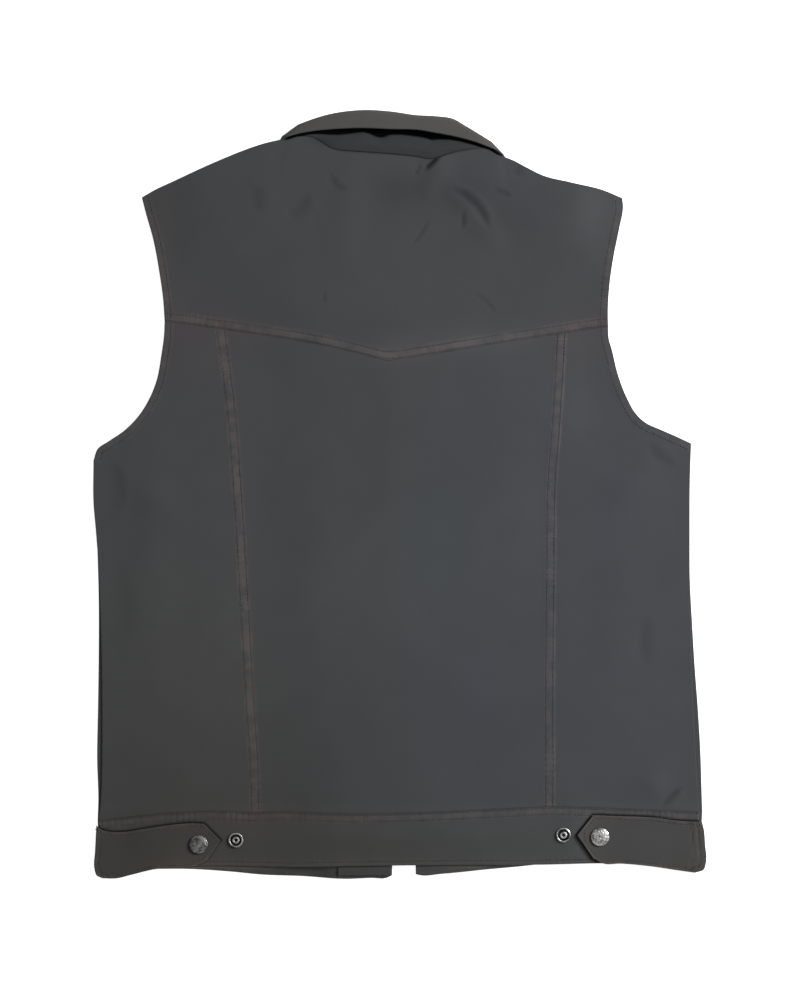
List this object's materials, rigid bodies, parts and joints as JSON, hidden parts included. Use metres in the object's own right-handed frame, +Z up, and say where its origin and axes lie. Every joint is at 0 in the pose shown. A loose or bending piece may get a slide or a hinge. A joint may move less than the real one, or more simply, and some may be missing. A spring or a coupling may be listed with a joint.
{
  "type": "western vest",
  "caption": "Western vest laid flat with its back upwards: pointed back yoke, long back seams, waistband with pointed snap tabs, rolled collar, plain snap front.",
  "frame": {"origin": "centre of the vest's box, on the surface that it lies on", "axes": "+X towards the wearer's right, +Y towards the collar, +Z up out of the back; the fronts lie underneath"},
  "size_m": [0.576, 0.724, 0.014],
  "materials": {
    "charcoal_cloth": "matte charcoal cloth with a faint sheen, brownish wear along seams and edges",
    "collar_cloth": "the same cloth, doubled, slightly lighter and browner on the rolled collar",
    "tab_cloth": "the same cloth, doubled and edge-stitched",
    "pewter": "mottled antique pewter"
  },
  "bodies": {
    "root": {"back_yoke": "charcoal_cloth", "back_panel_centre": "charcoal_cloth", "back_side_panel_left": "charcoal_cloth", "back_side_panel_right": "charcoal_cloth", "back_waistband": "charcoal_cloth", "tab_left": "tab_cloth", "tab_right": "tab_cloth", "tab_cap_left": "pewter", "tab_cap_right": "pewter", "tab_socket_left": "pewter", "tab_socket_right": "pewter", "waist_stud_left": "pewter", "waist_stud_right": "pewter", "collar": "collar_cloth", "front_panel_left": "charcoal_cloth", "front_panel_right": "charcoal_cloth", "front_waistband_left": "charcoal_cloth", "front_waistband_right": "charcoal_cloth", "front_facing_left": "charcoal_cloth", "front_cap_1": "pewter", "front_cap_2": "pewter", "front_cap_3": "pewter", "front_cap_4": "pewter", "front_cap_5": "pewter", "front_stud_1": "pewter", "front_stud_2": "pewter", "front_stud_3": "pewter", "front_stud_4": "pewter", "front_stud_5": "pewter"}
  },
  "joints": []
}
